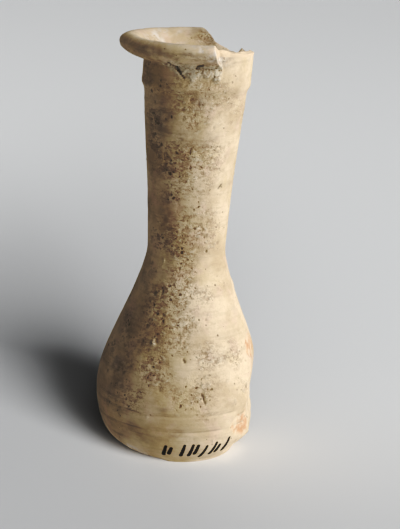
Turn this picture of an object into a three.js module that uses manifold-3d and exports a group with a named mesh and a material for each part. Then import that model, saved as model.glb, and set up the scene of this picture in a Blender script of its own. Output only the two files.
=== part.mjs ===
// A small clay unguentarium: a perfume flask thrown on the wheel, whole but for a stretch of its rim.
// Millimetres, +Z up. The origin is the middle of the foot's underside.
// Azimuths are degrees round +Z from +X: the front is at -90, and the broken rim faces +X.
import * as THREE from "three";
import { mergeVertices } from "three/addons/utils/BufferGeometryUtils.js";
import Module from "manifold-3d";

// Rises, each counted from the level below it.
const bodyRise = 18.3; // ground to the widest part of the body
const shoulderRise = 41.7; // widest part to the waist
const neckRise = 44; // waist to the foot of the collar
const collarRise = 9.3; // foot of the collar to the root of the lip
const lipRise = 6.7; // root of the lip to its crest

// Outer radii.
const footRadius = 16.1;
const bodyRadius = 23.7;
const waistRadius = 11.1;
const neckRadius = 14.2; // at the foot of the collar
const collarRadius = 15.1; // at the root of the lip
const rimRadius = 22;

// Walls, measured inwards from the outer radii, and the mouth.
const bodyWall = 3.5;
const neckWall = 3;
const floorThickness = 5.5;
const lipThickness = 2.65; // rim's outer edge to its crest
const funnelDepth = 9; // crest to the throat where the neck's bore begins

// Small turned forms.
const footRounding = 0.5;
const footFlare = 45; // degrees, the wall's first lean outwards from level
const collarSwell = 0.9; // how far the collar's lower edge stands out from its foot
const grooves = [
  { height: 12, width: 1.6, depth: 0.35 },
  { height: 16.8, width: 1.4, depth: 0.3 },
];

// The break in the rim. Each end of the lip is a flat face: the azimuth it looks to, and how far
// out from the axis it stands. Between them the wall stands to a ragged edge.
const breakFront = { looks: 0, standOff: 6.2, crestStandOff: 4 };
const breakRear = { looks: 29, standOff: 10.25, crestStandOff: 10.25 };
const brokenEdge = [
  // azimuth, and depth below the crest at the wall's inner side
  [-80, 0.4],
  [-67, 0.9],
  [-54, 1.9],
  [-46, 2.5],
  [-23, 2.8],
  [0, 3.4],
  [20, 4.7],
  [35, 5.3],
  [51, 4.6],
  [65, 3.3],
  [79, 1.7],
  [92, 0.7],
];
const fractureSlope = 0.35; // the broken wall falls outwards by this much for each mm
const scarStand = 0.1; // what is left of the lip's root outside the collar
const scarDrop = 0.4; // how far below the lip's root the scar reaches
const rimDip = { azimuth: 105, depth: 0.5 }; // where the rim is lowest, and by how much

// Where the wall has been pressed in while soft, inside and outside alike, or its outside chipped
// or rubbed flat. Azimuths are degrees, the rest mm.
const pressed = [{ name: "pressed side", azimuth: -5, low: 2.5, mid: 15.5, high: 34, depth: 3.1 }];
const chipped = [
  { name: "chipped foot", azimuth: -22, low: 0.2, mid: 3.8, high: 7.2, depth: 2 },
  { name: "rubbed foot", azimuth: -130, low: -8, mid: 0, high: 1.8, depth: 2.4 },
];

// Where a flake has come off, its bed following the wall.
const flakes = [
  { name: "by the shoulder", azimuth: -11, spread: 24, low: 27, mid: 32, high: 38, depth: 0.6 },
  { name: "above the foot", azimuth: -32, spread: 22, low: 6.5, mid: 12, high: 17.5, depth: 0.6 },
];

const segments = 48; // facets round the vessel
const shortestEdge = 0.05; // mm, left between two points after a cut

// Levels worked out from the rises.
const waistHeight = bodyRise + shoulderRise;
const collarHeight = waistHeight + neckRise;
const lipRoot = collarHeight + collarRise;
const crest = lipRoot + lipRise;

// The thrown axis wanders: how far it stands towards +X at each height.
const axis = new THREE.CubicInterpolant(
  [0, bodyRise, bodyRise + 0.4 * shoulderRise, waistHeight, collarHeight, crest],
  [0, -0.65, -0.15, 0.15, 0.8, 1.4],
  1,
);
const edge = new THREE.LinearInterpolant(
  brokenEdge.map(([azimuth]) => azimuth),
  brokenEdge.map(([, depth]) => depth),
  1,
);

const fired = new THREE.MeshStandardMaterial({
  color: new THREE.Color().setRGB(0.8, 0.7, 0.52, THREE.SRGBColorSpace),
  roughness: 0.9,
  metalness: 0,
});

const point = (radius, height) => new THREE.Vector2(radius, height);

// The points of a cubic curve, without its first.
function sweep(steps, from, leave, arrive, to) {
  return new THREE.CubicBezierCurve(from, leave, arrive, to).getPoints(steps).slice(1);
}

// The wall's radius where an outline passes a height.
function radiusAt(outline, height) {
  const above = outline.findIndex((p, i) => i > 0 && p.y >= height);
  const a = outline[above - 1];
  const b = outline[above];
  return THREE.MathUtils.mapLinear(height, a.y, b.y, a.x, b.x);
}

// Cuts a shallow V round an outline.
function grooved(outline, { height, width, depth }) {
  const half = width / 2;
  const cut = [-half, 0, half].map((step) =>
    point(radiusAt(outline, height + step) - (step === 0 ? depth : 0), height + step),
  );
  const below = outline.filter((p) => p.y < height - half);
  const above = outline.filter((p) => p.y > height + half);
  return [...below, ...cut, ...above];
}

// The wall from above the foot to the foot of the collar, drawn in by a wall's thickness.
function bellyAndNeck(start, bodyInset, neckInset, steps) {
  const widest = point(bodyRadius - bodyInset, bodyRise);
  const waist = point(waistRadius - neckInset, waistHeight);
  const top = point(neckRadius - neckInset, collarHeight);
  const flare = THREE.MathUtils.degToRad(footFlare);
  const pull = 0.25 * bodyRise;
  return [
    ...sweep(
      steps,
      start,
      point(start.x + pull * Math.cos(flare), start.y + pull * Math.sin(flare)),
      point(widest.x, widest.y - 0.8 * (bodyRise - start.y)),
      widest,
    ),
    ...sweep(
      steps + 2,
      widest,
      point(widest.x, widest.y + 0.29 * shoulderRise),
      point(waist.x, waist.y - 0.23 * shoulderRise),
      waist,
    ),
    ...sweep(
      steps - 2,
      waist,
      point(waist.x, waist.y + 0.26 * neckRise),
      point(top.x - 0.07 * 0.33 * neckRise, top.y - 0.33 * neckRise),
      top,
    ),
  ];
}

// The rim's widest edge and its crest.
const widestRim = point(rimRadius, crest - 0.3 * lipRise);
const rimTop = point(rimRadius - lipThickness, crest);

// Outside of the vessel, from the middle of the underside up to the rim's widest edge.
function outside() {
  const foot = point(footRadius, footRounding);
  const underside = [point(0, 0), point(footRadius - footRounding, 0), foot];
  const wall = grooves.reduce(grooved, [foot, ...bellyAndNeck(foot, 0, 0, 9)]).slice(1);
  const collarFoot = point(neckRadius, collarHeight);
  const collarLow = point(neckRadius + collarSwell, collarHeight + 0.36 * collarRise);
  const root = point(collarRadius, lipRoot);
  return [
    ...underside,
    ...wall,
    ...sweep(
      3,
      collarFoot,
      point(collarFoot.x + 0.1, THREE.MathUtils.lerp(collarFoot.y, collarLow.y, 0.6)),
      point(collarLow.x, THREE.MathUtils.lerp(collarFoot.y, collarLow.y, 0.6)),
      collarLow,
    ),
    root,
    ...sweep(
      6,
      root,
      point(THREE.MathUtils.lerp(root.x, rimRadius, 0.4), root.y + 0.15 * lipRise),
      point(rimRadius, root.y + 0.32 * lipRise),
      widestRim,
    ),
  ];
}

// Inside of the vessel, from over the rim's edge down to the middle of the floor.
function inside() {
  const throat = point(neckRadius - neckWall + 0.5, crest - funnelDepth);
  const corner = point(footRadius - bodyWall, floorThickness);
  const bore = bellyAndNeck(corner, bodyWall, neckWall, 6).reverse();
  return [
    ...sweep(
      3,
      widestRim,
      point(rimRadius, THREE.MathUtils.lerp(widestRim.y, crest, 0.55)),
      point(rimRadius - 0.45 * lipThickness, crest - 0.25),
      rimTop,
    ),
    ...sweep(
      6,
      rimTop,
      point(THREE.MathUtils.lerp(rimTop.x, throat.x, 0.35), crest + 0.1),
      point(throat.x + 0.3, THREE.MathUtils.lerp(throat.y, crest, 0.65)),
      throat,
    ),
    ...bore,
    corner,
    point(0, floorThickness),
  ];
}

// Zero outside low to high, one at mid, with a smooth rise on each side.
function hump(value, low, mid, high) {
  const rise = value < mid ? (value - low) / (mid - low) : (high - value) / (high - mid);
  return THREE.MathUtils.smoothstep(rise, 0, 1);
}

// How far flat places set the wall back at a place.
function setBack(flats, radius, azimuth, height) {
  const depths = flats.map((flat) => {
    const reach = Math.cos(THREE.MathUtils.degToRad(azimuth - flat.azimuth));
    const face = radius - flat.depth * hump(height, flat.low, flat.mid, flat.high);
    return reach > 0 ? radius - face / reach : 0;
  });
  return Math.max(0, ...depths);
}

// How deep the flakes' beds lie at a place.
function flaked(azimuth, height) {
  const depths = flakes.map((flake) => {
    const across = hump(azimuth, flake.azimuth - flake.spread, flake.azimuth, flake.azimuth + flake.spread);
    return flake.depth * across * hump(height, flake.low, flake.mid, flake.high);
  });
  return Math.max(...depths);
}

// Moves a point from the straight thrown form to the one that stands: the axis wanders, the rim dips.
function settle(v) {
  const [shift] = axis.evaluate(v.z);
  const towards = Math.cos(Math.atan2(v.y, v.x) - THREE.MathUtils.degToRad(rimDip.azimuth));
  const raised = THREE.MathUtils.clamp((v.z - lipRoot) / lipRise, 0, 1);
  v.z -= rimDip.depth * Math.max(0, towards) * raised;
  v.x += shift;
  return v;
}

// The whole vessel before its rim was broken, with its pressed, chipped and flaked walls.
function thrown() {
  const outer = outside();
  const inner = inside();
  const vessel = new THREE.LatheGeometry([...outer, ...inner], segments);
  vessel.rotateX(Math.PI / 2);
  const places = vessel.getAttribute("position");
  const rows = outer.length + inner.length;
  const v = new THREE.Vector3();
  for (let i = 0; i < places.count; i += 1) {
    v.fromBufferAttribute(places, i);
    const radius = Math.hypot(v.x, v.y);
    const azimuth = THREE.MathUtils.radToDeg(Math.atan2(v.y, v.x));
    if (radius > footRadius / 2) {
      const isOutside = i % rows < outer.length;
      const flats = isOutside ? [...pressed, ...chipped] : pressed;
      const worn = isOutside ? flaked(azimuth, v.z) : 0;
      const kept = 1 - (setBack(flats, radius, azimuth, v.z) + worn) / radius;
      v.x *= kept;
      v.y *= kept;
    }
    settle(v);
    places.setXYZ(i, v.x, v.y, v.z);
  }
  return vessel;
}

// How far round from the way it looks a flat face meets a circle round the axis, in degrees.
function meets(face, radius, raised) {
  const standOff = THREE.MathUtils.lerp(face.standOff, face.crestStandOff, raised);
  return THREE.MathUtils.radToDeg(Math.acos(Math.min(1, standOff / radius)));
}

// The piece of rim that broke away: a wedge round the axis whose underside is the fracture.
function lostRim() {
  const bore = collarRadius - neckWall;
  const scar = collarRadius + scarStand;
  const radii = [1, bore, scar, scar + 0.05, rimRadius + 6];
  const outsideRing = 3;
  const steps = 30;
  const wedge = new THREE.BoxGeometry(1, 1, 1, radii.length - 1, steps, 1);
  const places = wedge.getAttribute("position");
  const v = new THREE.Vector3();
  for (let i = 0; i < places.count; i += 1) {
    v.fromBufferAttribute(places, i);
    const ring = Math.round((v.x + 0.5) * (radii.length - 1));
    const radius = radii[ring];
    const raised = v.z > 0 ? 1 : 0;
    const start = breakFront.looks - meets(breakFront, radius, raised);
    const stop = breakRear.looks + meets(breakRear, radius, raised);
    const azimuth = THREE.MathUtils.lerp(start, stop, v.y + 0.5);
    const wall = crest - edge.evaluate(azimuth)[0] - fractureSlope * (radius - bore);
    const bottom = ring < outsideRing ? wall : lipRoot - scarDrop;
    const angle = THREE.MathUtils.degToRad(azimuth);
    v.set(radius * Math.cos(angle), radius * Math.sin(angle), raised ? crest + 1 : bottom);
    v.x += axis.evaluate(v.z)[0];
    places.setXYZ(i, v.x, v.y, v.z);
  }
  return wedge;
}

// A closed geometry as a solid.
function solid(library, geometry) {
  const bare = geometry.clone();
  bare.deleteAttribute("normal");
  bare.deleteAttribute("uv");
  const merged = mergeVertices(bare, 1e-4);
  const corners = Array.from(merged.index.array);
  return new library.Manifold(
    new library.Mesh({
      numProp: 3,
      vertProperties: merged.getAttribute("position").array,
      triVerts: new Uint32Array(withoutFlatFaces(corners)),
    }),
  );
}

// The faces whose three corners differ. A face and its own reverse cancel each other.
function withoutFlatFaces(corners) {
  const faces = new Map();
  for (let i = 0; i < corners.length; i += 3) {
    const face = corners.slice(i, i + 3);
    if (new Set(face).size < 3) continue;
    const key = [...face].sort((a, b) => a - b).join();
    if (faces.has(key)) faces.delete(key);
    else faces.set(key, face);
  }
  return [...faces.values()].flat();
}

// A solid as a geometry. Where a cut grazed an edge, the ends of its tiny edges are drawn together.
function geometryOf(made) {
  const { vertProperties, triVerts } = made.getMesh();
  const places = new THREE.BufferAttribute(vertProperties, 3);
  const chosen = Array.from({ length: places.count }, (_, i) => i);
  const settled = (i) => (chosen[i] === i ? i : settled(chosen[i]));
  const a = new THREE.Vector3();
  const b = new THREE.Vector3();
  triVerts.forEach((corner, i) => {
    const following = triVerts[i % 3 === 2 ? i - 2 : i + 1];
    a.fromBufferAttribute(places, corner);
    b.fromBufferAttribute(places, following);
    if (a.distanceTo(b) < shortestEdge) chosen[settled(corner)] = settled(following);
  });
  const geometry = new THREE.BufferGeometry();
  geometry.setAttribute("position", places);
  geometry.setIndex(withoutFlatFaces(Array.from(triVerts, settled)));
  geometry.computeVertexNormals();
  return geometry;
}

const library = await Module();
library.setup();

const flask = solid(library, thrown()).subtract(solid(library, lostRim()));
const unguentarium = new THREE.Mesh(geometryOf(flask), fired);
unguentarium.name = "unguentarium";

const part = new THREE.Group();
part.add(unguentarium);

export default part;
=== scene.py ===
"""Looks of a small clay unguentarium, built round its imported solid.

The vessel is one grid of points, worked out with numpy: rows follow its outline from the middle of
the underside, up the wall, over the lip, down the bore to the middle of the floor, and columns go
round it. Lengths are in millimetres and angles in degrees until the mesh is made. Azimuths count
round +Z from +X, so the front is at -90 and the broken rim faces +X.
"""

import functools
import itertools
import logging
import math
from dataclasses import dataclass, field
from enum import Enum

import bpy
import numpy as np
from mathutils import Matrix, Vector


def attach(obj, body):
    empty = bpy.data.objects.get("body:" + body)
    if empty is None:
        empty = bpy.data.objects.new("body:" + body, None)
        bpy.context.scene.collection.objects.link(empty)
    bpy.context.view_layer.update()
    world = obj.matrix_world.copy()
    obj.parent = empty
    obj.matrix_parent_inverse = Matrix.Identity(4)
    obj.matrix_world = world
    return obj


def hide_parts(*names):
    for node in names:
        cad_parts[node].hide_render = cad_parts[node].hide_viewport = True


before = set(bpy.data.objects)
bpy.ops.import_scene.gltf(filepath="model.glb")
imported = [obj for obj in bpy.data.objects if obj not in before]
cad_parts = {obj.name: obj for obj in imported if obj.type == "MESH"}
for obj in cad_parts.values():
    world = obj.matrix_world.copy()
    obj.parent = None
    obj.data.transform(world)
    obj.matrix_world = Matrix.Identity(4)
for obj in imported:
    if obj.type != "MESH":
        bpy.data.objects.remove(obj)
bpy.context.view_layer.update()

NODE = "unguentarium"
MM = 0.001
Array = np.ndarray
Socket = bpy.types.NodeSocket
log = logging.getLogger("unguentarium")


class Mark(Enum):
    """What a point attribute of the vessel says, each from 0 to 1."""

    WORN = "worn"
    # Stains, and painted shade under the lip and on the dark left side.
    STAIN_AND_SHADE = "stain_and_shade"
    PIT = "pit"
    BARE = "bare"
    BROKEN = "broken"
    CRUST = "crust"
    SCUFF = "scuff"
    # Painted shade in the cuts, in the grooves and on the far tooth of the broken rim.
    CUT = "cut"


def eased(value: Array, low: float, high: float) -> Array:
    """How far value has gone from low to high, from 0 to 1, with a smooth start and stop.

    Args:
        value: Numbers to judge.
        low: Where the result is 0.
        high: Where the result is 1. It may be under low.

    Returns:
        3t^2 - 2t^3, with t the clipped share of the way.
    """
    t = np.clip((value - low) / (high - low), 0.0, 1.0)
    return t * t * (3.0 - 2.0 * t)


def hump(value: Array, low: float, mid: float, high: float) -> Array:
    """Zero outside low to high and one at mid, with a smooth rise on each side."""
    return np.where(value < mid, eased(value, low, mid), eased(value, high, mid))


def bezier(start: tuple, leave: tuple, arrive: tuple, end: tuple, steps: int = 40) -> Array:
    """Points of a cubic curve.

    Args:
        start: First point, as (radius, height).
        leave: Handle that the curve leaves towards.
        arrive: Handle that it arrives from.
        end: Last point.
        steps: Number of points.

    Returns:
        Array (steps, 2): (1-t)^3 start + 3(1-t)^2 t leave + 3(1-t) t^2 arrive + t^3 end.
    """
    t = np.linspace(0.0, 1.0, steps)[:, None]
    s = 1.0 - t
    a, b, c, d = (np.array(p, float) for p in (start, leave, arrive, end))
    return s**3 * a + 3 * s**2 * t * b + 3 * s * t**2 * c + t**3 * d


def evenly(path: Array, count: int) -> Array:
    """The same path with evenly spaced points.

    Args:
        path: Array (points, 2).
        count: Number of points to give it.

    Returns:
        Array (count, 2), read off the path at even steps of its own length.
    """
    steps = np.hypot(*np.diff(path, axis=0).T)
    run = np.concatenate([[0.0], np.cumsum(steps)])
    at = np.linspace(0.0, run[-1], count)
    return np.stack([np.interp(at, run, path[:, k]) for k in (0, 1)], axis=1)


def smooth_through(x: Array, knots: tuple, values: tuple) -> Array:
    """A smooth curve through a few values.

    Args:
        x: Where to read the curve.
        knots: Where the values stand, rising.
        values: The values there.

    Returns:
        Cubic Hermite pieces between the knots, whose slopes are the mean slopes at each knot.
    """
    knots_at, values_at = np.array(knots, float), np.array(values, float)
    slopes = np.gradient(values_at, knots_at)
    i = np.clip(np.searchsorted(knots_at, x) - 1, 0, len(knots_at) - 2)
    width = knots_at[i + 1] - knots_at[i]
    t = np.clip((x - knots_at[i]) / width, 0.0, 1.0)
    low, high = values_at[i], values_at[i + 1]
    bend = (t**3 - 2 * t**2 + t) * width * slopes[i] + (t**3 - t**2) * width * slopes[i + 1]
    return low + (high - low) * (3 * t**2 - 2 * t**3) + bend


def round_from(azimuth: Array, other: float) -> Array:
    """Degrees from other to azimuth the short way round, from -180 to 180."""
    return (azimuth - other + 180.0) % 360.0 - 180.0


HASH_FACTORS = (0x9E3779B185EBCA87, 0xC2B2AE3D27D4EB4F, 0x165667B19E3779F9, 0x27D4EB2F165667C5)
HASH_MASK = (1 << 64) - 1


def hashed(cells: Array, seed: int) -> Array:
    """One steady number from 0 to 1 for each lattice cell.

    Args:
        cells: Array (..., 3) of whole numbers.
        seed: Picks one of many unlike patterns.

    Returns:
        Array (...): the cell's three numbers times three large odd factors, mixed by shifts.
    """
    x, y, z = (cells[..., k].astype(np.int64).astype(np.uint64) for k in range(3))
    a, b, c, d = (np.uint64(f) for f in HASH_FACTORS)
    mixed = x * a ^ y * b ^ z * c ^ np.uint64((seed + 1) * int(d) & HASH_MASK)
    for shift in (31, 27):
        mixed = (mixed ^ (mixed >> np.uint64(shift))) * b
    return (mixed >> np.uint64(11)).astype(float) / float(1 << 53)


def mottle(places: Array, size: object, seed: int, octaves: int = 3) -> Array:
    """Smooth noise from about -1 to 1.

    Args:
        places: Array (..., 3) of points.
        size: Width of the largest blotches, one number or one for each axis.
        seed: Picks the pattern.
        octaves: Number of layers, each half as wide and half as strong as the last.

    Returns:
        Sum of layers, each the smoothly weighted mean of the hashed corners of a point's cell.
    """
    total = np.zeros(places.shape[:-1])
    for octave in range(octaves):
        scaled = places / np.asarray(size, float) * 2.0**octave
        base = np.floor(scaled)
        ease = eased(scaled - base, 0.0, 1.0)
        layer = np.zeros_like(total)
        for corner in itertools.product((0, 1), repeat=3):
            weight = np.prod(np.where(np.array(corner) > 0, ease, 1.0 - ease), axis=-1)
            layer += weight * hashed(base + np.array(corner), seed + octave)
        total += (2.0 * layer - 1.0) / 2.0**octave
    return total


def dimples(places: Array, size: float, radii: tuple, share: Array, seed: int) -> Array:
    """Round pits, one at most to a cell.

    Args:
        places: Array (..., 3) of points.
        size: Width of a cell.
        radii: Smallest and largest radius of a pit.
        share: Share of the cells that hold a pit, at each point.
        seed: Picks the pattern.

    Returns:
        Depth from 0 to 1 at each point: 1 - (distance / radius)^2 of the deepest pit there.
    """
    scaled = places / size
    base = np.floor(scaled)
    depth = np.zeros(places.shape[:-1])
    for corner in itertools.product((-1, 0, 1), repeat=3):
        cell = base + np.array(corner)
        centre = cell + np.stack([hashed(cell, seed + k) for k in range(3)], axis=-1)
        radius = (radii[0] + (radii[1] - radii[0]) * hashed(cell, seed + 3) ** 2) / size
        away = np.linalg.norm(scaled - centre, axis=-1) / radius
        depth = np.maximum(depth, (hashed(cell, seed + 4) < share) * np.clip(1.0 - away**2, 0.0, 1.0))
    return depth


@dataclass(frozen=True)
class Turning:
    """The vessel as it came off the wheel, in mm."""

    body_rise: float = 18.3
    shoulder_rise: float = 41.7
    neck_rise: float = 44.0
    collar_rise: float = 9.3
    lip_rise: float = 6.7
    foot_radius: float = 16.1
    body_radius: float = 23.7
    waist_radius: float = 11.1
    neck_radius: float = 14.2
    collar_radius: float = 15.1
    rim_radius: float = 22.0
    body_wall: float = 3.5
    neck_wall: float = 3.0
    floor_thickness: float = 5.5
    lip_thickness: float = 2.65
    funnel_depth: float = 9.0
    foot_rounding: float = 0.5
    foot_flare: float = 45.0
    collar_swell: float = 0.9

    @property
    def waist_height(self) -> float:
        """Height of the narrowest place."""
        return self.body_rise + self.shoulder_rise

    @property
    def collar_height(self) -> float:
        """Height of the foot of the collar."""
        return self.waist_height + self.neck_rise

    @property
    def lip_root(self) -> float:
        """Height at which the lip leaves the collar."""
        return self.collar_height + self.collar_rise

    @property
    def crest(self) -> float:
        """Height of the rim."""
        return self.lip_root + self.lip_rise

    @property
    def throat(self) -> tuple:
        """Radius and height at which the bore begins."""
        return self.neck_radius - self.neck_wall + 0.5, self.crest - self.funnel_depth

    def belly_and_neck(self, start: tuple, body_inset: float, neck_inset: float) -> Array:
        """The wall from above the foot to the foot of the collar.

        Args:
            start: Radius and height where it begins.
            body_inset: Wall to take off the body's radius.
            neck_inset: Wall to take off the waist's and the neck's radius.

        Returns:
            Three cubic curves in a row: out to the belly, in to the waist, and up the neck.
        """
        widest = (self.body_radius - body_inset, self.body_rise)
        waist = (self.waist_radius - neck_inset, self.waist_height)
        top = (self.neck_radius - neck_inset, self.collar_height)
        flare, pull = math.radians(self.foot_flare), 0.25 * self.body_rise
        leave = (start[0] + pull * math.cos(flare), start[1] + pull * math.sin(flare))
        arrive = (widest[0], widest[1] - 0.8 * (self.body_rise - start[1]))
        belly = bezier(start, leave, arrive, widest)
        rise = self.shoulder_rise
        handles = (widest[0], widest[1] + 0.29 * rise), (waist[0], waist[1] - 0.23 * rise)
        shoulder = bezier(widest, *handles, waist)
        rise = self.neck_rise
        handles = (waist[0], waist[1] + 0.26 * rise), (top[0] - 0.023 * rise, top[1] - 0.33 * rise)
        return np.concatenate([belly, shoulder[1:], bezier(waist, *handles, top)[1:]])

    def wall(self) -> Array:
        """The outside from the foot's rounding to the root of the lip.

        Returns:
            Array (points, 2) of radius and height.
        """
        foot = (self.foot_radius, self.foot_rounding)
        collar = (self.neck_radius, self.collar_height)
        low = (self.neck_radius + self.collar_swell, self.collar_height + 0.36 * self.collar_rise)
        turn = collar[1] + 0.6 * (low[1] - collar[1])
        swell = bezier(collar, (collar[0] + 0.1, turn), (low[0], turn), low)
        root = np.array([[self.collar_radius, self.lip_root]])
        return np.concatenate([self.belly_and_neck(foot, 0.0, 0.0), swell[1:], root])

    def over_the_lip(self) -> Array:
        """From the root of the lip round its edge to the rim's crest.

        Returns:
            Array (points, 2) of radius and height.
        """
        root = (self.collar_radius, self.lip_root)
        widest = (self.rim_radius, self.crest - 0.3 * self.lip_rise)
        leave = (root[0] + 0.4 * (self.rim_radius - root[0]), root[1] + 0.15 * self.lip_rise)
        arrive = (self.rim_radius, root[1] + 0.32 * self.lip_rise)
        under = bezier(root, leave, arrive, widest)
        top = (self.rim_radius - self.lip_thickness, self.crest)
        leave = (self.rim_radius, widest[1] + 0.55 * (self.crest - widest[1]))
        arrive = (self.rim_radius - 0.45 * self.lip_thickness, self.crest - 0.25)
        return np.concatenate([under, bezier(widest, leave, arrive, top)[1:]])

    def funnel(self) -> Array:
        """From the rim's crest down to the throat.

        Returns:
            Array (points, 2) of radius and height.
        """
        top = (self.rim_radius - self.lip_thickness, self.crest)
        throat = self.throat
        leave = (top[0] + 0.35 * (throat[0] - top[0]), self.crest + 0.1)
        arrive = (throat[0] + 0.3, throat[1] + 0.65 * self.funnel_depth)
        return bezier(top, leave, arrive, throat, 80)

    def bore(self) -> Array:
        """From the throat down to the edge of the inner floor.

        Returns:
            Array (points, 2) of radius and height.
        """
        corner = (self.foot_radius - self.body_wall, self.floor_thickness)
        up = self.belly_and_neck(corner, self.body_wall, self.neck_wall)
        return np.concatenate([[self.throat], up[::-1]])


@dataclass(frozen=True)
class LipEnd:
    """A flat face at which the lip stops: where it looks, and how far from the axis it stands."""

    looks: float
    stand_off: float
    crest_stand_off: float
    side: int

    def azimuth(self, radius: Array, height: Array, turning: Turning) -> Array:
        """Azimuth at which the face meets a circle round the axis.

        Args:
            radius: The circle's radius.
            height: Its height.
            turning: Gives the levels of the lip.

        Returns:
            looks + side * acos(stand-off / radius), the stand-off going over from foot to crest.
        """
        raised = np.clip((height - turning.lip_root) / (turning.lip_rise + 1.0), 0.0, 1.0)
        off = self.stand_off + (self.crest_stand_off - self.stand_off) * raised
        return self.looks + self.side * np.degrees(np.arccos(np.clip(off / radius, -1.0, 1.0)))


@dataclass(frozen=True)
class BrokenRim:
    """Where a stretch of the lip has broken away, and the edge that is left.

    The drops count down from the crest, to the inner and the outer edge of the broken wall.
    """

    front: LipEnd = LipEnd(0.0, 6.2, 4.0, -1)
    rear: LipEnd = LipEnd(29.0, 10.25, 10.25, 1)
    front_middle: float = -66.1
    rear_middle: float = 76.7
    edge_at: tuple = (-80, -67, -60, -50, -43, -33, -20, 0, 20, 35, 51, 65, 79, 92)
    inner_drop: tuple = (0.5, 0.7, 1.4, 2.5, 2.8, 2.9, 3.0, 3.6, 4.8, 5.8, 5.6, 4.5, 2.9, 1.4)
    outer_drop: tuple = (2.4, 2.4, 2.6, 3.0, 3.3, 3.5, 3.7, 4.1, 5.3, 6.3, 6.0, 4.9, 3.3, 2.1)
    widest_edge: float = 15.4
    thinnest_edge: float = 0.5
    thickest_edge: float = 1.2
    ragged: float = 0.13
    scar_drop: float = 0.4
    tooth_at: float = 30.5
    tooth_half: float = 1.9
    tooth_rise: float = 2.2

    def section(self, turning: Turning, azimuth: Array, counts: tuple) -> tuple:
        """Outline of the broken wall for each column.

        Args:
            turning: Sizes of the whole vessel.
            azimuth: Where the columns stand.
            counts: Rows up the wall, across the fracture and down the funnel.

        Returns:
            Radii and heights, arrays (rows, columns): up the collar to the outer edge, straight
            across the fracture to the inner edge, and down the funnel to the throat. Where the
            wall is thicker than thickest_edge, its inside is chipped away near the fracture.
        """
        down = turning.funnel()[::-1]
        ring = np.stack([np.cos(np.radians(azimuth)), np.sin(np.radians(azimuth)), 0 * azimuth], -1)
        uneven = [self.ragged * mottle(ring * 14.0, 2.6, seed, 3) for seed in (11, 14)]
        tooth = self.tooth_rise * np.clip(1 - np.abs(azimuth - self.tooth_at) / self.tooth_half, 0, 1)
        inner_z = turning.crest - np.interp(azimuth, self.edge_at, self.inner_drop) + uneven[0] + tooth
        index = np.arange(len(down))
        widest = np.interp(self.widest_edge, down[:, 0], index)
        first = np.minimum(np.interp(inner_z, down[:, 1], index), widest)
        inner_r, inner_z = (np.interp(first, index, down[:, k]) for k in (0, 1))
        outer_r = np.maximum(turning.collar_radius + 0.05, inner_r + self.thinnest_edge)
        outer_z = turning.crest - np.interp(azimuth, self.edge_at, self.outer_drop) + uneven[1]
        outer_z += 0.6 * tooth
        chipped = np.maximum(0.0, outer_r - self.thickest_edge - inner_r)
        inner_r = inner_r + chipped
        root_z = turning.lip_root - self.scar_drop
        t = np.linspace(0.0, 1.0, counts[0], endpoint=False)[:, None]
        root_r = turning.collar_radius
        wall = (root_r + (outer_r - root_r) * t, root_z + (outer_z - root_z) * t)
        t = np.linspace(0.0, 1.0, counts[1], endpoint=False)[:, None]
        across = (outer_r + (inner_r - outer_r) * t, outer_z + (inner_z - outer_z) * t)
        left = np.linspace(1.0, 0.0, counts[2])[:, None]
        inwards = [np.interp(first * left, index, down[:, k]) for k in (0, 1)]
        inwards[0] += chipped * left**2
        return tuple(np.concatenate([wall[k], across[k], inwards[k]]) for k in (0, 1))


@dataclass(frozen=True)
class Flat:
    """A place set back to a flat face, pressed in while soft or rubbed away later."""

    azimuth: float
    low: float
    mid: float
    high: float
    depth: float

    def set_back(self, radius: Array, azimuth: Array, height: Array) -> Array:
        """How far the wall is set back.

        Args:
            radius: Radii of the places.
            azimuth: Their azimuths.
            height: Their heights.

        Returns:
            radius - (radius - depth * hump(height)) / cos(azimuth), or 0 where that is negative.
        """
        reach = np.cos(np.radians(azimuth - self.azimuth))
        face = radius - self.depth * hump(height, self.low, self.mid, self.high)
        return np.where(reach > 0.1, np.maximum(0.0, radius - face / np.maximum(reach, 0.1)), 0.0)


@dataclass(frozen=True)
class Patch:
    """A soft-edged place on the wall, in degrees across and mm tall."""

    azimuth: float
    height: float
    across: float
    tall: float
    strength: float = 1.0

    def share(self, azimuth: Array, height: Array) -> Array:
        """From 0 outside to strength in the middle: the bell exp(-d^2) of the scaled distance."""
        away = (round_from(azimuth, self.azimuth) / self.across) ** 2
        return self.strength * np.exp(-away - ((height - self.height) / self.tall) ** 2)


def patches(*rows: tuple) -> tuple:
    """Patches from rows of azimuth, height, width across, height of the patch and strength."""
    return tuple(Patch(*row) for row in rows)


@dataclass(frozen=True)
class Blotches:
    """Patches whose edges are broken up by noise: its strength, size, seed and octaves."""

    patches: tuple
    ragged: float
    size: object
    seed: int
    octaves: int
    low: float
    high: float

    def share(self, places: Array, azimuth: Array, height: Array, kept: Array | float = 1.0) -> Array:
        """How far each place is covered.

        Args:
            places: Array (..., 3) of points.
            azimuth: Their azimuths.
            height: Their heights.
            kept: Factor on the patches alone.

        Returns:
            From 0 to 1: kept * the strongest patch + ragged * noise, eased from low to high.
        """
        strongest = np.max([patch.share(azimuth, height) for patch in self.patches], axis=0)
        noise = mottle(places, self.size, self.seed, self.octaves)
        return eased(kept * strongest + self.ragged * noise, self.low, self.high)


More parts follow.
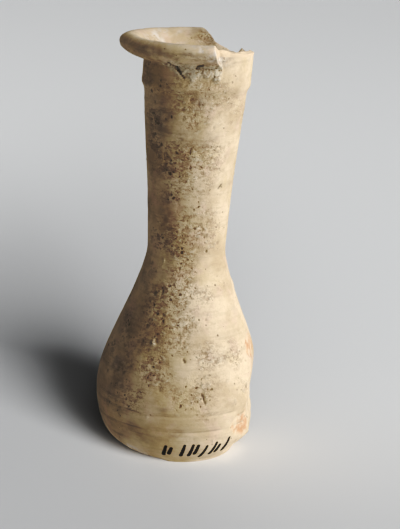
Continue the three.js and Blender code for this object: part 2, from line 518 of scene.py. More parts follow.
@dataclass(frozen=True)
class Cut:
    """A narrow gouge, nick or crack, straight from one place on the wall to another."""

    start: tuple
    end: tuple
    half: float
    depth: float

    def share(self, azimuth: Array, height: Array, radius: Array) -> Array:
        """How deep in the cut each place lies.

        Args:
            azimuth: Azimuths of the places.
            height: Their heights.
            radius: Their radii.

        Returns:
            From 0 outside to 1 along the middle: 1 - (distance to the line / half)^2.
        """
        across = np.radians(round_from(azimuth, self.start[0])) * radius
        run = np.radians(self.end[0] - self.start[0]) * radius
        rise = self.end[1] - self.start[1]
        along = np.clip((across * run + (height - self.start[1]) * rise) / (run**2 + rise**2), 0.0, 1.0)
        away = np.hypot(across - run * along, height - self.start[1] - rise * along)
        return np.clip(1.0 - (away / self.half) ** 2, 0.0, 1.0)


@dataclass(frozen=True)
class Wear:
    """What use, burial and time have done to the wall, in mm and degrees, with some painted shade among
    its stains.

    A groove has its level, its half width and its depth. The worn depth is a mean and how much it
    varies. The axis shifts towards +X by the amounts given at the knots' heights, and the rim dips
    most at the dip's azimuth.
    """

    pressed: tuple = (Flat(-5, 2.5, 15.5, 34, 3.1),)
    rubbed: tuple = (Flat(-22, 0.2, 3.8, 7.2, 2.0), Flat(-130, -8, 0, 1.8, 2.4))
    flaked: Blotches = Blotches(
        patches((-10, 32, 15, 4.2), (-33, 12, 15, 3.9)), 0.16, 4.0, 23, 3, 0.36, 0.62
    )
    flake_depth: float = 0.6
    ridge_height: float = 0.09
    worn_depth: tuple = (0.13, 0.07)
    pit_depth: float = 0.22
    crust_rise: float = 0.3
    scuff_depth: float = 0.12
    fracture_relief: float = 0.12
    grooves: tuple = ((8.6, 0.5, 0.22), (12.0, 0.7, 0.4), (16.8, 0.6, 0.34))
    pitted: Blotches = Blotches(
        patches(
            (-92, 101, 42, 9, 0.75), (-134, 44, 26, 26, 0.65), (-136, 90, 24, 24, 0.6),
            (-50, 84, 22, 26, 0.4), (-140, 26, 26, 12, 0.5), (-96, 84, 46, 16, 1.0),
            (-96, 64, 44, 16, 0.9), (-102, 46, 34, 12, 0.95), (-112, 33, 30, 9, 0.8),
            (-64, 33, 26, 4, 0.55), (-76, 40, 30, 9, 0.35), (-84, 26, 40, 6, 0.35),
            (-95, 22, 60, 7, 0.45), (-58, 50, 24, 12, 0.45), (75, 118.5, 26, 2.4, 0.8),
            (110, 60, 60, 22, 0.7), (60, 30, 30, 9, 0.7),
        ),
        0.5, (7.0, 7.0, 4.5), 31, 4, 0.1, 1.0,
    )
    stained_and_shaded: Blotches = Blotches(
        patches(
            # The patches at (-105, 115.4) and (-79, 115.4) are painted shade under the lip, and the one
            # at (-152, 70) is painted shade on the dark left side; the rest are stains.
            (-84, 104, 15, 3.0, 0.9), (-105, 115.4, 60, 2.6, 2.1), (-152, 70, 26, 60, 0.35),
            (-140, 18, 24, 16, 0.5), (-125, 96, 15, 9, 0.8), (-95, 90, 30, 7, 0.75),
            (-122, 78, 14, 8, 0.9), (-120, 66, 14, 9, 0.9), (-79, 115.4, 14, 1.8, 1.0),
            (-112, 54, 17, 8, 0.95), (-118, 40, 13, 6, 0.95), (-128, 30, 14, 5, 0.9),
            (-104, 26, 14, 5, 0.5), (-118, 9, 20, 3.5, 0.7), (-55, 33, 14, 3.0, 0.45),
            (-99, 18.8, 4, 0.9, 0.9), (-79.5, 22, 4, 0.9, 0.8), (-123, 12.6, 6, 0.9, 0.9),
            (-94, 10.6, 5, 0.9, 0.8), (75, 118.5, 30, 3.0, 0.6), (100, 62, 50, 20, 0.7),
            (50, 35, 25, 8, 0.6), (150, 90, 30, 12, 0.6), (170, 22, 35, 6, 0.5),
        ),
        0.55, (6.0, 6.0, 4.0), 35, 4, 0.15, 1.1,
    )
    crusted: Blotches = Blotches(
        patches(
            (-112, 113.2, 12, 2.1), (-97, 112.6, 13, 2.6), (-82, 112.8, 12, 2.5), (-69, 112.9, 7, 2.5),
            (-69, 25.5, 6, 2.2, 0.55), (-81, 27.5, 4, 1.4, 0.5), (-117, 36.5, 5, 2.0, 0.5),
        ),
        0.4, 2.0, 51, 3, 0.3, 0.75,
    )
    scuffed: Blotches = Blotches(
        patches(
            (-73, 117.8, 11, 3.0), (-88, 119.2, 9, 1.2, 0.7), (-120, 120.0, 70, 1.0, 0.55),
            (140, 117, 45, 5.0, 0.6), (-130, 3.5, 26, 3.2, 0.6),
        ),
        0.3, 2.2, 55, 3, 0.3, 0.8,
    )
    cuts: tuple = (
        Cut((-73.0, 23.2), (-71.4, 21.8), 0.5, 0.4),
        Cut((-71.4, 21.8), (-70.4, 20.4), 0.4, 0.35),
        Cut((-49, 79.2), (-44.5, 80), 0.38, 0.3),
        Cut((-115.5, 114.6), (-108, 111.6), 0.36, 0.45),
        Cut((-108, 111.6), (-103.5, 110.4), 0.32, 0.35),
        Cut((-90, 113.7), (-86, 114.2), 0.5, 0.35),
        Cut((-87.6, 32.6), (-86.4, 32.0), 0.45, 0.3),
    )
    axis_knots: tuple = (0, 18.3, 34.98, 60, 104, 120)
    axis_shift: tuple = (0, -0.65, -0.15, 0.15, 0.8, 1.4)
    dip_azimuth: float = 105.0
    dip_depth: float = 0.5

    def set_back(self, radius: Array, azimuth: Array, height: Array, inner: bool) -> Array:
        """How far flats set the wall back, the deepest one counting."""
        flats = self.pressed if inner else self.pressed + self.rubbed
        return np.max([flat.set_back(radius, azimuth, height) for flat in flats], axis=0)

    def grooved(self, places: Array, height: Array) -> Array:
        """Depth of the turned grooves, which come and go round the vessel.

        Args:
            places: Array (rows, columns, 3) of points.
            height: Their heights.

        Returns:
            Sum over the grooves of depth * notch * fading. A notch falls off evenly to its edges.
        """
        depth = np.zeros_like(height)
        for level, half, deep in self.grooves:
            wander = 0.25 * mottle(places * [1, 1, 0], 9.0, int(level), 2)
            notch = np.clip(1.0 - np.abs(height - level - wander) / half, 0.0, 1.0)
            fading = 0.75 + 0.35 * mottle(places * [1, 1, 0], 6.0, 40 + int(level), 2)
            depth += deep * notch * fading
        return depth


@dataclass
class Flask:
    """The vessel as one closed mesh that stands for its solid.

    The lip's counts are its rows up the broken wall, across the fracture and down the funnel. At
    each end of the lip the columns within end_half degrees are drawn into its flat face, on which
    they spread over end_spread degrees, and drawn_over degrees further out they are left alone.
    Rows come to follow the face between the two drawn_below mm under the lip's root, and within
    drawn_in_bore mm under the throat.
    """

    turning: Turning = field(default_factory=Turning)
    rim: BrokenRim = field(default_factory=BrokenRim)
    wear: Wear = field(default_factory=Wear)
    columns: int = 300
    crowding: float = 0.3
    underside_rows: int = 10
    wall_rows: int = 244
    lip_counts: tuple = (16, 10, 18)
    bore_rows: int = 26
    end_half: float = 4.2
    end_spread: float = 2.4
    drawn_over: float = 32.0
    drawn_below: tuple = (5.5, 0.4)
    drawn_in_bore: float = 12.0

    def outline(self) -> tuple:
        """Rows of the unbroken outline, from the edge of the underside to the inner floor.

        Returns:
            Array (rows, 2) of radius and height, and the first rows of the wall, the lip and the bore.
        """
        t = self.turning
        edge = t.foot_radius - t.foot_rounding
        reach = edge * np.linspace(0.0, 1.0, self.underside_rows + 1)[1:]
        turn = np.radians([30.0, 60.0])
        rounded = t.foot_rounding * np.stack([np.sin(turn), 1 - np.cos(turn)], 1)
        under = np.concatenate([np.stack([reach, 0 * reach], 1), rounded + [edge, 0.0]])
        wall = evenly(t.wall(), self.wall_rows)[:-1]
        over = evenly(t.over_the_lip(), self.lip_counts[0] + 6)[:-1]
        funnel = evenly(t.funnel(), sum(self.lip_counts) - len(over))
        bore = t.bore()
        high_up = bore[:, 1] > t.collar_height - 8.0
        fine = evenly(bore[high_up], 12)[1:]
        coarse = evenly(bore[~high_up], self.bore_rows - len(fine))
        floor = np.stack([coarse[-1, 0] * np.array([0.66, 0.33]), np.full(2, t.floor_thickness)], 1)
        rows = np.concatenate([under, wall, over, funnel, fine, coarse, floor])
        lip = len(under) + len(wall)
        return rows, len(under), lip, lip + len(over) + len(funnel)

    def column_azimuths(self) -> Array:
        """Azimuths of the columns, one of them at the front end of the lip.

        Returns:
            Array (columns,), crowded at the front: steps even in azimuth + crowding * sine.
        """
        round_the_front = np.linspace(-180.0, 180.0, 3601)
        run = round_the_front + math.degrees(self.crowding) * np.sin(np.radians(round_the_front))
        first = np.interp(self.rim.front_middle - self.end_half + 90.0, round_the_front, run)
        steps = (first + 360.0 / self.columns * np.arange(self.columns) + 180.0) % 360.0 - 180.0
        return (np.interp(steps, run, round_the_front) - 90.0 + 180.0) % 360.0 - 180.0

    def drawn(self, nominal: Array, radius: Array, height: Array, pull: Array) -> Array:
        """Azimuth of each point, with the columns near an end of the lip drawn into its flat face.

        Args:
            nominal: Azimuth of each column, (columns,).
            radius: Radii, (rows, columns).
            height: Heights, (rows, columns).
            pull: How fully each row follows the faces, (rows, 1).

        Returns:
            Array (rows, columns): nominal + pull * fade * (face azimuth + own share of spread -
            nominal), the fade falling from 1 at the face to 0 some way from it.
        """
        azimuth = np.broadcast_to(nominal, radius.shape).copy()
        rim, half = self.rim, self.end_half
        for end, middle in ((rim.front, rim.front_middle), (rim.rear, rim.rear_middle)):
            away = round_from(nominal, middle)
            within = np.clip(away, -half, half)
            fade = eased(np.abs(away), half + self.drawn_over, half)
            face = end.azimuth(radius, height, self.turning) + within * self.end_spread / (2 * half)
            azimuth += pull * fade * (face - middle - within)
        return azimuth

    def surface(self) -> dict:
        """The grid before it is worn.

        Returns:
            radius, height and azimuth, arrays (rows, columns); gone, how fully the lip is missing in
            each column; and the first rows of the wall, the lip and the bore.
        """
        t, rim = self.turning, self.rim
        rows, wall_from, lip_from, bore_from = self.outline()
        nominal = self.column_azimuths()
        radius = np.repeat(rows[:, :1], self.columns, axis=1)
        height = np.repeat(rows[:, 1:], self.columns, axis=1)
        raised = np.clip((height - t.lip_root) / t.lip_rise, 0.0, 1.0)
        lean = np.maximum(0.0, np.cos(np.radians(nominal - self.wear.dip_azimuth)))
        height = height - self.wear.dip_depth * lean * raised
        inward_of_front = (nominal - rim.front_middle + self.end_half) / (2 * self.end_half)
        inward_of_rear = (rim.rear_middle + self.end_half - nominal) / (2 * self.end_half)
        gone = eased(np.minimum(inward_of_front, inward_of_rear), 0.0, 1.0)
        at_edge = np.clip(nominal, rim.front_middle, rim.rear_middle)
        broken_r, broken_z = rim.section(t, at_edge, self.lip_counts)
        lip = slice(lip_from, bore_from)
        radius[lip] += gone * (broken_r - radius[lip])
        height[lip] += gone * (broken_z - height[lip])
        level = rows[:, 1:]
        index = np.arange(len(rows))[:, None]
        begin, full = (t.lip_root - below for below in self.drawn_below)
        in_bore = eased(level, t.throat[1] - self.drawn_in_bore, t.throat[1])
        pull = np.where(index < bore_from, eased(level, begin, full), in_bore)
        azimuth = self.drawn(nominal, radius, height, pull)
        return {
            "radius": radius, "height": height, "azimuth": azimuth, "gone": gone,
            "wall_from": wall_from, "lip_from": lip_from, "bore_from": bore_from,
        }

    def worn_surface(self) -> tuple:
        """The grid with the wall's flats, flakes, grooves, pits, cuts and crust.

        Returns:
            Places (rows, columns, 3) in mm and a dict of marks, each (rows, columns).
        """
        s, wear = self.surface(), self.wear
        radius, height, azimuth = s["radius"], s["height"], s["azimuth"]
        index = np.arange(len(radius))[:, None]
        raised = index >= s["wall_from"]
        outer = raised & (index < s["lip_from"] + self.lip_counts[0] + 3)
        inner = index >= s["bore_from"]
        fractured = (index >= s["lip_from"]) & (index < s["lip_from"] + sum(self.lip_counts[:2]))
        scar = (index >= s["lip_from"] + self.lip_counts[0] - 3) & fractured
        broken = scar * eased(s["gone"], 0.0, 0.35) * np.ones_like(radius)
        back = np.where(inner, wear.set_back(radius, azimuth, height, True), 0.0)
        back = np.where(outer, wear.set_back(radius, azimuth, height, False), back)
        foot = self.turning.foot_radius
        rubbed = wear.set_back(np.full_like(radius, foot), azimuth, height, False)
        back = np.where(raised, back, rubbed * (radius / foot) ** 3)
        turn = np.radians(azimuth)
        around = np.stack([np.cos(turn), np.sin(turn)], axis=-1)
        places = np.concatenate([(radius - back)[..., None] * around, height[..., None]], axis=-1)
        places[..., 0] += smooth_through(height, wear.axis_knots, wear.axis_shift)
        normal = normals_of(places)
        skin = outer * (1.0 - broken)
        shown = raised * (1.0 - broken) * (1.0 - inner)
        where = places, azimuth, height
        flake = skin * wear.flaked.share(*where)
        worn = shown * wear.pitted.share(*where) * (1.0 - flake)
        stain_and_shade = shown * wear.stained_and_shaded.share(*where) * (1.0 - flake)
        lumps = skin * wear.crusted.share(*where, skin)
        scuff = shown * wear.scuffed.share(*where)
        pits = dimples(places, 1.9, (0.4, 0.95), 0.04 + 0.4 * worn, 61) * skin
        grooves = wear.grooved(places, height) * skin
        cuts = [cut.share(azimuth, height, radius) * skin for cut in wear.cuts]
        # Painted shade: the cuts, the grooves and the far tooth of the broken rim get a dark fill where
        # shade falls.
        tooth = 1.0 - np.abs(round_from(azimuth, self.rim.tooth_at)) / self.rim.tooth_half
        dark = [*cuts, 0.5 * eased(grooves, 0.08, 0.4), eased(tooth, 0.0, 0.4) * broken]
        deep, uneven = wear.worn_depth
        lift = wear.ridge_height * mottle(places, (40.0, 40.0, 5.0), 71, 2) * (1.0 - 0.6 * broken)
        lift -= wear.flake_depth * flake * (1.0 + 0.25 * mottle(places, 2.0, 81, 2))
        lift -= grooves
        lift -= skin * worn * (deep + uneven * mottle(places, 1.5, 91, 2))
        lift -= wear.pit_depth * pits
        lift += wear.crust_rise * lumps * (1.0 + 0.9 * mottle(places, 1.1, 101, 2))
        lift += wear.fracture_relief * broken * mottle(places, 1.1, 111, 3)
        lift -= wear.scuff_depth * scuff * (1.0 + mottle(places, 1.3, 121, 2))
        for cut, share in zip(wear.cuts, cuts):
            lift -= cut.depth * share
        places = places + np.where(raised, lift, 0.0)[..., None] * normal
        marks = {
            Mark.WORN: worn, Mark.STAIN_AND_SHADE: stain_and_shade, Mark.PIT: pits, Mark.BARE: flake,
            Mark.BROKEN: broken, Mark.CRUST: lumps, Mark.SCUFF: scuff, Mark.CUT: np.max(dark, axis=0),
        }
        return places, marks

    def build(self) -> bpy.types.Object:
        """Makes the mesh, with its marks and its unwrapping.

        Returns:
            The mesh object, at the origin, in metres.
        """
        places, marks = self.worn_surface()
        low, high = places[0].mean(axis=0), places[-1].mean(axis=0)
        low[2], high[2] = 0.0, self.turning.floor_thickness
        points = np.concatenate([places.reshape(-1, 3), [low, high]]) * MM
        faces, flat = woven(*places.shape[:2])
        mesh = bpy.data.meshes.new(NODE + "_clay")
        mesh.from_pydata(points.tolist(), [], faces)
        for mark, values in marks.items():
            layer = mesh.attributes.new(mark.value, "FLOAT", "POINT")
            layer.data.foreach_set("value", np.append(values.ravel(), [0.0, 0.0]).astype(np.float32))
        layer = mesh.uv_layers.new(name="unwrapped")
        layer.data.foreach_set("uv", flat.ravel().astype(np.float32))
        mesh.shade_smooth()
        mesh.validate()
        return placed("clay_flask", mesh)


def placed(name: str, data: bpy.types.ID) -> bpy.types.Object:
    """Puts a new object into the scene, at the origin.

    Args:
        name: Name of the object.
        data: Its mesh, light or camera.

    Returns:
        The object.
    """
    made = bpy.data.objects.new(name, data)
    bpy.context.collection.objects.link(made)
    return made


def woven(rows: int, columns: int) -> tuple:
    """Faces of a closed grid, and the grid laid out flat in the unit square.

    Args:
        rows: Number of rows. They go upwards in the square.
        columns: Number of columns. They go across it.

    Returns:
        A list of faces: quads row by row, then a fan round each of the two poles, which are the last
        points; and an array (corners, 2) of where the faces' corners lie in the square.
    """
    column = np.arange(columns)[:, None]
    row = np.arange(rows - 1)[:, None, None]
    faces, flat = [], []
    for across, up in (
        (column + [0, 1, 1, 0], row + [0, 0, 1, 1]),
        (column + [0.5, 1, 0], [-1, 0, 0]),
        (column + [0, 1, 0.5], [rows - 1, rows - 1, rows]),
    ):
        across, up = np.broadcast_arrays(across, up)
        point = np.where(up < 0, rows * columns, up * columns + across % columns)
        point = np.where(up == rows, rows * columns + 1, point)
        faces += point.astype(int).reshape(-1, point.shape[-1]).tolist()
        flat.append(np.stack([across / columns, (up + 1) / (rows + 1)], -1).reshape(-1, 2))
    return faces, np.concatenate(flat)


def normals_of(places: Array) -> Array:
    """Outward unit normals of a grid whose rows climb the outside and whose columns go round.

    Args:
        places: Array (rows, columns, 3).

    Returns:
        Cross product of the difference across the columns with that along the rows, made unit.
    """
    across = np.roll(places, -1, axis=1) - np.roll(places, 1, axis=1)
    along = np.gradient(places, axis=0)
    crossed = np.cross(across, along)
    length = np.linalg.norm(crossed, axis=-1, keepdims=True)
    return crossed / np.maximum(length, 1e-9)


class Mixer:
    """Short calls for the nodes of one material, so that a recipe reads as a list of layers."""

    def __init__(self, name: str) -> None:
        """Starts a material with one plain shader.

        Args:
            name: Name of the material.
        """
        self.material = bpy.data.materials.new(name)
        self.material.use_nodes = True
        self.tree = self.material.node_tree
        self.shader = self.tree.nodes["Principled BSDF"]

    def put(self, socket: Socket, value: object) -> None:
        """Fills an input of a node.

        Args:
            socket: The input.
            value: Another node's output to link to it, or a plain number, vector or colour.
        """
        if isinstance(value, Socket):
            self.tree.links.new(value, socket)
        elif socket.type == "RGBA":
            socket.default_value = (*value, 1.0)
        else:
            socket.default_value = value

    def node(self, kind: str, *values: object, **settings: object) -> bpy.types.Node:
        """A node with its settings made and its inputs filled.

        Args:
            kind: Type name of the node.
            values: Numbers or sockets for its first inputs, in order.
            settings: Settings of the node, and further inputs, by name.

        Returns:
            The new node.
        """
        made = self.tree.nodes.new(kind)
        for name, value in settings.items():
            if name in made.inputs:
                self.put(made.inputs[name], value)
            else:
                setattr(made, name, value)
        for socket, value in zip(made.inputs, values):
            self.put(socket, value)
        return made

    def math(self, operation: str, *values: object) -> Socket:
        """A sum, product or the like of numbers."""
        return self.node("ShaderNodeMath", *values, operation=operation).outputs[0]

    def times(self, *values: object) -> Socket:
        """The product of two or more numbers."""
        return functools.reduce(lambda a, b: self.math("MULTIPLY", a, b), values)

    def line(self, value: object, rate: object, start: object) -> Socket:
        """start + rate * value."""
        return self.math("MULTIPLY_ADD", value, rate, start)

    def vector(self, operation: str, *values: object, **further: object) -> Socket:
        """A sum, product or the like of vectors; for a dot product or a length, a number."""
        made = self.node("ShaderNodeVectorMath", *values, operation=operation, **further)
        return made.outputs[1 if operation in ("DOT_PRODUCT", "LENGTH") else 0]

    def eased(self, value: object, low: object, high: object) -> Socket:
        """From 0 where value is low to 1 where it is high, smoothly."""
        kind = {"interpolation_type": "SMOOTHSTEP"}
        return self.node("ShaderNodeMapRange", value, low, high, 0.0, 1.0, **kind).outputs[0]

    def mark(self, mark: Mark) -> Socket:
        """One of the vessel's point attributes."""
        return self.node("ShaderNodeAttribute", attribute_name=mark.value).outputs["Fac"]

    def scaled(self, places: object, size: object, seed: int) -> Socket:
        """Places in units of a pattern's size.

        Args:
            places: Coordinates in mm.
            size: The size, one number or one for each axis.
            seed: Moves the places on to another part of the pattern.

        Returns:
            places / size + seed * a fixed step.
        """
        sizes = size if isinstance(size, tuple) else (size, size, size)
        step = (31.7 * seed, 17.3 * seed, 43.1 * seed)
        return self.vector("MULTIPLY_ADD", places, tuple(1.0 / s for s in sizes), step)

    def noise(self, places: object, size: object, seed: int, detail: float = 3.0) -> Socket:
        """Smooth noise from 0 to 1, mostly near a half, whose largest blotches have the size given."""
        inputs = {"Vector": self.scaled(places, size, seed), "Scale": 1.0, "Detail": detail}
        return self.node("ShaderNodeTexNoise", Roughness=0.58, **inputs).outputs[0]

    def blotches(
        self, places: object, size: object, seed: int, low: float, high: float, detail: float = 3.0
    ) -> Socket:
        """The same noise, turned to 0 where it is under low and 1 where it is over high."""
        return self.eased(self.noise(places, size, seed, detail), low, high)

    def spots(self, places: object, size: object, reach: float, share: object, seed: int) -> Socket:
        """Round spots of mixed sizes, one at most to a cell.

        Args:
            places: Coordinates in mm.
            size: Width of a cell, one number or one for each axis.
            reach: Radius of the largest spot, as a share of the cell.
            share: Share of the cells that hold a spot.
            seed: Picks the pattern.

        Returns:
            1 inside a spot and 0 outside, with soft edges.
        """
        cells = self.node("ShaderNodeTexVoronoi", Vector=self.scaled(places, size, seed), Scale=1.0)
        drawn = self.node("ShaderNodeSeparateColor", cells.outputs["Color"])
        radius = self.line(drawn.outputs[1], 0.65 * reach, 0.35 * reach)
        inside = self.eased(self.math("DIVIDE", cells.outputs["Distance"], radius), 1.0, 0.45)
        return self.times(inside, self.math("LESS_THAN", drawn.outputs[0], share))

    def over(self, share: object, under: object, top: object) -> Socket:
        """One colour laid over another.

        Args:
            share: How much of the top colour shows, from 0 to 1.
            under: The colour below.
            top: The colour above.

        Returns:
            under + share * (top - under).
        """
        made = self.node("ShaderNodeMix", data_type="RGBA", Factor=share)
        self.put(made.inputs[6], under)
        self.put(made.inputs[7], top)
        return made.outputs[2]

    def finish(self, colour: object, roughness: object, height: object) -> bpy.types.Material:
        """Sets what the shader shows.

        Args:
            colour: Base colour.
            roughness: Roughness, from 0 to 1.
            height: Height of the bumps in mm, or None for no bumps.

        Returns:
            The material.
        """
        self.put(self.shader.inputs["Base Color"], colour)
        self.put(self.shader.inputs["Roughness"], roughness)
        if height is not None:
            bump = self.node("ShaderNodeBump", Strength=1.0, Distance=MM, Height=height)
            self.put(self.shader.inputs["Normal"], bump.outputs[0])
        return self.material


@dataclass(frozen=True)
class Ink:
    """A row of slanted brush strokes above the foot, which are no letters.

    Each stroke is azimuth and height of its lower end, how far it leans to the right and how far it
    rises, in mm.
    """

    colour: tuple = (0.014, 0.012, 0.010)
    radius: float = 20.6
    half_width: float = 0.56
    strokes: tuple = (
        (-101.0, 4.0, 0.9, 3.2),
        (-96.6, 4.6, 0.7, 2.0),
        (-87.0, 3.9, 0.8, 3.9),
        (-80.6, 3.9, 0.8, 3.9),
        (-76.4, 4.7, 0.7, 2.9),
        (-70.6, 3.0, 1.1, 4.2),
        (-62.8, 4.0, 1.0, 3.9),
        (-58.6, 4.6, 0.6, 2.3),
        (-52.0, 4.6, 1.1, 4.1),
    )

    def share(self, mixer: Mixer, places: object) -> Socket:
        """Where the ink is: near the closest of the strokes, with uneven edges.

        Args:
            mixer: The material's mixer.
            places: Coordinates in mm.

        Returns:
            1 on a stroke and 0 off it. The wall is unrolled to (radius * azimuth, height), and a
            stroke is the places within its half width of a line.
        """
        parts = mixer.node("ShaderNodeSeparateXYZ", places)
        turn = mixer.math("ARCTAN2", parts.outputs[1], parts.outputs[0])
        across = mixer.times(turn, self.radius)
        unrolled = mixer.node("ShaderNodeCombineXYZ", across, parts.outputs[2], 0.0).outputs[0]
        nearest = 100.0
        for azimuth, height, lean, rise in self.strokes:
            length = math.hypot(lean, rise)
            towards = (lean / length, rise / length, 0.0)
            foot = (math.radians(azimuth) * self.radius, height, 0.0)
            offset = mixer.vector("SUBTRACT", unrolled, foot)
            along = mixer.vector("DOT_PRODUCT", offset, towards)
            along = mixer.math("MINIMUM", mixer.math("MAXIMUM", along, 0.0), length)
            step = mixer.vector("SCALE", towards, Scale=along)
            away = mixer.vector("LENGTH", mixer.vector("SUBTRACT", offset, step))
            nearest = mixer.math("MINIMUM", nearest, mixer.line(along, 0.05, away))
        uneven = mixer.line(mixer.noise(places, 0.7, 91), 0.3, -0.15)
        nearest = mixer.math("ADD", nearest, uneven)
        return mixer.eased(nearest, self.half_width + 0.12, self.half_width - 0.1)


@dataclass(frozen=True)
class Clay:
    """Buff, unglazed, low-fired clay, stained and pitted, with painted shade in places. Colours are
    linear.
    """

    cream: tuple = (0.62, 0.51, 0.365)
    tan: tuple = (0.47, 0.368, 0.242)
    straw: tuple = (0.56, 0.45, 0.285)
    rosy: tuple = (0.58, 0.44, 0.34)
    brown: tuple = (0.25, 0.187, 0.125)
    ashen: tuple = (0.32, 0.262, 0.208)
    fleck: tuple = (0.13, 0.09, 0.055)
    grime: tuple = (0.295, 0.21, 0.142)
    pale: tuple = (0.66, 0.58, 0.44)
    crust: tuple = (0.57, 0.51, 0.40)
    bare: tuple = (0.50, 0.28, 0.155)
    fracture: tuple = (0.60, 0.48, 0.34)
    scuff: tuple = (0.60, 0.54, 0.47)
    shadow: tuple = (0.085, 0.065, 0.045)
    ink: Ink = field(default_factory=Ink)

    def material(self) -> bpy.types.Material:
        """Thin layers of colour, one over the other, and a bump of the same marks.

        Returns:
            The node material.
        """
        m = Mixer("buff_clay")
        places = m.vector("SCALE", m.node("ShaderNodeTexCoord").outputs["Object"], Scale=1.0 / MM)
        worn, stain_and_shade, pit, bare, broken, crust, scuff, cut = (m.mark(mark) for mark in Mark)
        wobble = m.node("ShaderNodeTexNoise", Vector=places, Scale=1.1)
        bent = m.vector("MULTIPLY_ADD", wobble.outputs["Color"], (0.9, 0.9, 0.9), places)
        streaks = m.noise(bent, (15.0, 15.0, 1.2), 4)
        cloud = m.blotches(bent, (3.2, 3.2, 2.2), 5, 0.36, 0.60, 5.0)
        tint = m.over(m.blotches(places, 5.0, 6, 0.42, 0.6), self.brown, self.ashen)
        lost = m.blotches(bent, (2.3, 2.3, 1.2), 16, 0.48, 0.58, 6.0)
        grit = m.blotches(bent, (0.95, 0.95, 0.7), 17, 0.51, 0.62, 4.0)
        crumbled = m.blotches(bent, (1.5, 1.5, 1.0), 18, 0.56, 0.64, 4.0)
        gathered = m.times(worn, m.blotches(places, 4.0, 7, 0.36, 0.62, 4.0))
        large = m.spots(bent, (1.4, 1.4, 1.5), 0.40, m.line(gathered, 0.50, 0.015), 8)
        small = m.spots(bent, (0.8, 0.8, 1.0), 0.46, m.line(gathered, 0.60, 0.03), 9)
        crumbs = m.noise(places, 0.9, 11, 4.0)
        hollows = m.blotches(bent, (1.3, 1.3, 1.0), 19, 0.52, 0.60, 4.0)
        raw = m.over(m.blotches(places, 2.4, 13, 0.40, 0.66, 4.0), self.bare, self.cream)
        layers = (
            (m.blotches(places, 14.0, 1, 0.40, 0.64), self.tan),
            (m.times(m.blotches(places, 9.0, 2, 0.50, 0.68), 0.6), self.straw),
            (m.times(m.blotches(places, 6.0, 3, 0.52, 0.68), 0.5), self.rosy),
            # The stain mark brings stains, and painted shade under the lip and on the dark left side.
            (m.times(m.eased(streaks, 0.52, 0.70), m.line(stain_and_shade, 0.45, 0.15)), self.brown),
            (m.times(stain_and_shade, m.line(cloud, 0.50, 0.08)), tint),
            (m.times(lost, m.line(worn, 0.52, 0.08)), self.grime),
            (m.times(grit, m.line(worn, 0.62, 0.10)), self.grime),
            (m.times(crumbled, m.line(worn, 0.38, 0.10)), self.pale),
            (m.math("MAXIMUM", m.times(large, 0.75), m.times(small, 0.6)), self.fleck),
            (m.times(m.eased(pit, 0.25, 0.95), 0.5), self.brown),
            (m.times(crust, m.eased(crumbs, 0.36, 0.50), 0.85), self.crust),
            (m.times(crust, hollows, 0.65), self.grime),
            (m.times(crust, m.eased(crumbs, 0.40, 0.30)), self.shadow),
            (m.times(scuff, m.blotches(places, 1.6, 12, 0.36, 0.56, 4.0)), self.scuff),
            (m.times(bare, 0.9), raw),
            (broken, self.fracture),
            # Painted shade in the cuts, the grooves and on the tooth of the broken rim, from the cut
            # mark.
            (m.times(m.eased(cut, 0.1, 0.9), 0.75), self.shadow),
            (m.times(self.ink.share(m, places), 0.96), self.ink.colour),
        )
        colour = self.cream
        for share, top in layers:
            colour = m.over(share, colour, top)

        turned = m.noise(bent, (45.0, 45.0, 0.55), 14, 1.0)
        low_down = m.eased(m.node("ShaderNodeSeparateXYZ", places).outputs[2], 24.0, 16.0)
        grain = m.noise(places, 0.55, 15, 2.0)
        reliefs = (
            (turned, m.line(low_down, 0.08, 0.03)),
            (streaks, 0.05),
            (large, -0.14),
            (small, -0.08),
            (m.times(lost, worn), -0.10),
            (m.times(grit, worn), -0.07),
            (m.times(crumbled, worn), 0.07),
            (m.times(crust, crumbs), 0.5),
        )
        height = m.times(grain, m.line(worn, 0.10, 0.05))
        for pattern, rise in reliefs:
            height = m.line(pattern, rise, height)
        m.shader.inputs["Specular IOR Level"].default_value = 0.25
        return m.finish(colour, m.line(grain, 0.12, 0.84), height)


@dataclass(frozen=True)
class TableTop:
    """A plain pale grey table with painted shade: a painted shadow beside the vessel, and darker grey
    near the camera and far away.
    """

    grey: tuple = (0.80, 0.81, 0.815)
    shadow_grey: tuple = (0.57, 0.577, 0.585)
    shadow_centre: tuple = (-0.045, 0.05, 0.0)
    shadow_reach: tuple = (1 / 0.068, 1 / 0.27, 0.0)

    def material(self) -> bpy.types.Material:
        """Grey that goes over to a darker grey as painted shade: by e^(-distance^2) beside the vessel
        as a painted shadow, and near and far.

        Returns:
            The node material.
        """
        m = Mixer("pale_table")
        places = m.node("ShaderNodeTexCoord").outputs["Object"]
        parts = m.node("ShaderNodeSeparateXYZ", places)
        # Painted shade: darker near the camera and far away, and a painted shadow beside the vessel.
        near = m.times(m.eased(parts.outputs[1], 0.06, -0.10), 0.6)
        far = m.times(m.eased(parts.outputs[1], 0.30, 1.20), 0.40)
        off = m.vector("MULTIPLY", m.vector("SUBTRACT", places, self.shadow_centre), self.shadow_reach)
        away = m.vector("LENGTH", off)
        beside = m.math("POWER", math.e, m.times(away, away, -1.0))
        painted_shade = m.math("MINIMUM", m.math("ADD", m.math("ADD", near, far), beside), 1.0)
        return m.finish(m.over(painted_shade, self.grey, self.shadow_grey), 0.75, None)


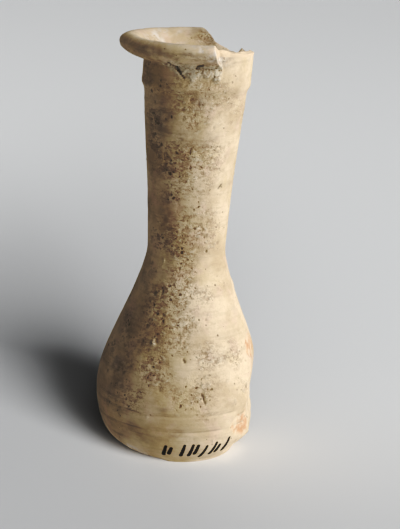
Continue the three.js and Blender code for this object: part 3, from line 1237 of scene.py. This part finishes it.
@dataclass(frozen=True)
class Daylight:
    """Soft light on one object from a broad part of the surroundings, such as a window.

    Its middle's azimuth and elevation, and the spread that it has from the vessel, are in degrees,
    and its strength is in watts per square metre.
    """

    name: str
    azimuth: float
    elevation: float
    spread: float
    strength: float

    def build(self, lit: bpy.types.Object) -> None:
        """Makes the light.

        Args:
            lit: The one object that it falls on. All objects cast shadows in it.
        """
        data = bpy.data.lights.new(self.name, "SUN")
        data.angle, data.energy = math.radians(self.spread), self.strength
        made = placed(self.name, data)
        a, e = math.radians(self.azimuth), math.radians(self.elevation)
        towards = Vector((math.cos(a) * math.cos(e), math.sin(a) * math.cos(e), math.sin(e)))
        made.matrix_world = towards.to_track_quat("Z", "Y").to_matrix().to_4x4()
        only = bpy.data.collections.new("lit_by_" + self.name)
        only.objects.link(lit)
        made.light_linking.receiver_collection = only


@dataclass(frozen=True)
class Studio:
    """Table, lights and camera."""

    camera_at: tuple = (-1.0, -440.6, 182.0)
    pitch: float = 16.146
    yaw: float = 0.682
    roll: float = 2.606
    focal_pixels: float = 1605.0
    picture_height: float = 529.0
    sensor: float = 36.0
    table_half: float = 4000.0
    table_lights: tuple = (
        Daylight("window_on_table", -60.0, 18.0, 33.0, 5.4),
        Daylight("sky_on_table", -71.0, 25.0, 50.0, 1.9),
    )
    vessel_lights: tuple = (
        Daylight("window_on_vessel", -12.0, 25.0, 40.0, 2.7),
        Daylight("room_on_vessel", -33.0, 8.0, 38.0, 1.95),
        Daylight("sky_on_vessel", -70.0, 76.0, 70.0, 0.9),
    )
    room_colour: tuple = (0.95, 0.98, 1.0, 1.0)
    room_strength: float = 0.01
    tones: tuple = ((0.05, 0.019), (0.12, 0.054), (0.2, 0.153), (0.3, 0.288), (0.4, 0.4))

    def camera(self) -> None:
        """Makes the camera, at the photograph's place and angle."""
        data = bpy.data.cameras.new("camera")
        data.sensor_width = self.sensor
        data.lens = self.sensor * self.focal_pixels / self.picture_height
        data.clip_start, data.clip_end = 0.01, 30.0
        made = placed("camera", data)
        turned = Matrix.Rotation(math.radians(-self.yaw), 4, "Z")
        turned = turned @ Matrix.Rotation(math.radians(90.0 - self.pitch), 4, "X")
        turned = turned @ Matrix.Rotation(math.radians(self.roll), 4, "Z")
        made.matrix_world = Matrix.Translation(Vector(self.camera_at) * MM) @ turned
        bpy.context.scene.camera = made

    def table(self) -> bpy.types.Object:
        """Makes the floor, a plain square.

        Returns:
            Its object.
        """
        half = self.table_half * MM
        corners = [(-half, -half, 0.0), (half, -half, 0.0), (half, half, 0.0), (-half, half, 0.0)]
        mesh = bpy.data.meshes.new("table_top")
        mesh.from_pydata(corners, [], [(0, 1, 2, 3)])
        mesh.materials.append(TableTop().material())
        made = placed("table_top", mesh)
        return made

    def build(self, vessel: bpy.types.Object) -> None:
        """Makes the camera, the table and the lights, and sets the tones.

        Args:
            vessel: The vessel, which has lights of its own, as the table has.
        """
        self.camera()
        for lit, lights in ((self.table(), self.table_lights), (vessel, self.vessel_lights)):
            for light in lights:
                light.build(lit)
        world = bpy.data.worlds.new("room")
        world.use_nodes = True
        background = world.node_tree.nodes["Background"]
        background.inputs["Color"].default_value = self.room_colour
        background.inputs["Strength"].default_value = self.room_strength
        bpy.context.scene.world = world
        self.tone()

    def tone(self) -> None:
        """Sets the picture's tones: a small camera's curve, which darkens the shadows."""
        view = bpy.context.scene.view_settings
        view.view_transform = "Standard"
        view.use_curve_mapping = True
        curve = view.curve_mapping.curves[3]
        for dark, shown in self.tones:
            curve.points.new(dark, shown)
        view.curve_mapping.update()


def main() -> None:
    """Builds the vessel and its studio, and reports each piece."""
    logging.basicConfig(level=logging.INFO, format="%(message)s")
    flask = Flask().build()
    flask.data.materials.append(Clay().material())
    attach(flask, "root")
    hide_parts(NODE)
    log.info("%s: %d faces, %s", flask.name, len(flask.data.polygons), flask.dimensions)
    Studio().build(flask)


if __name__ == "__main__":
    main()
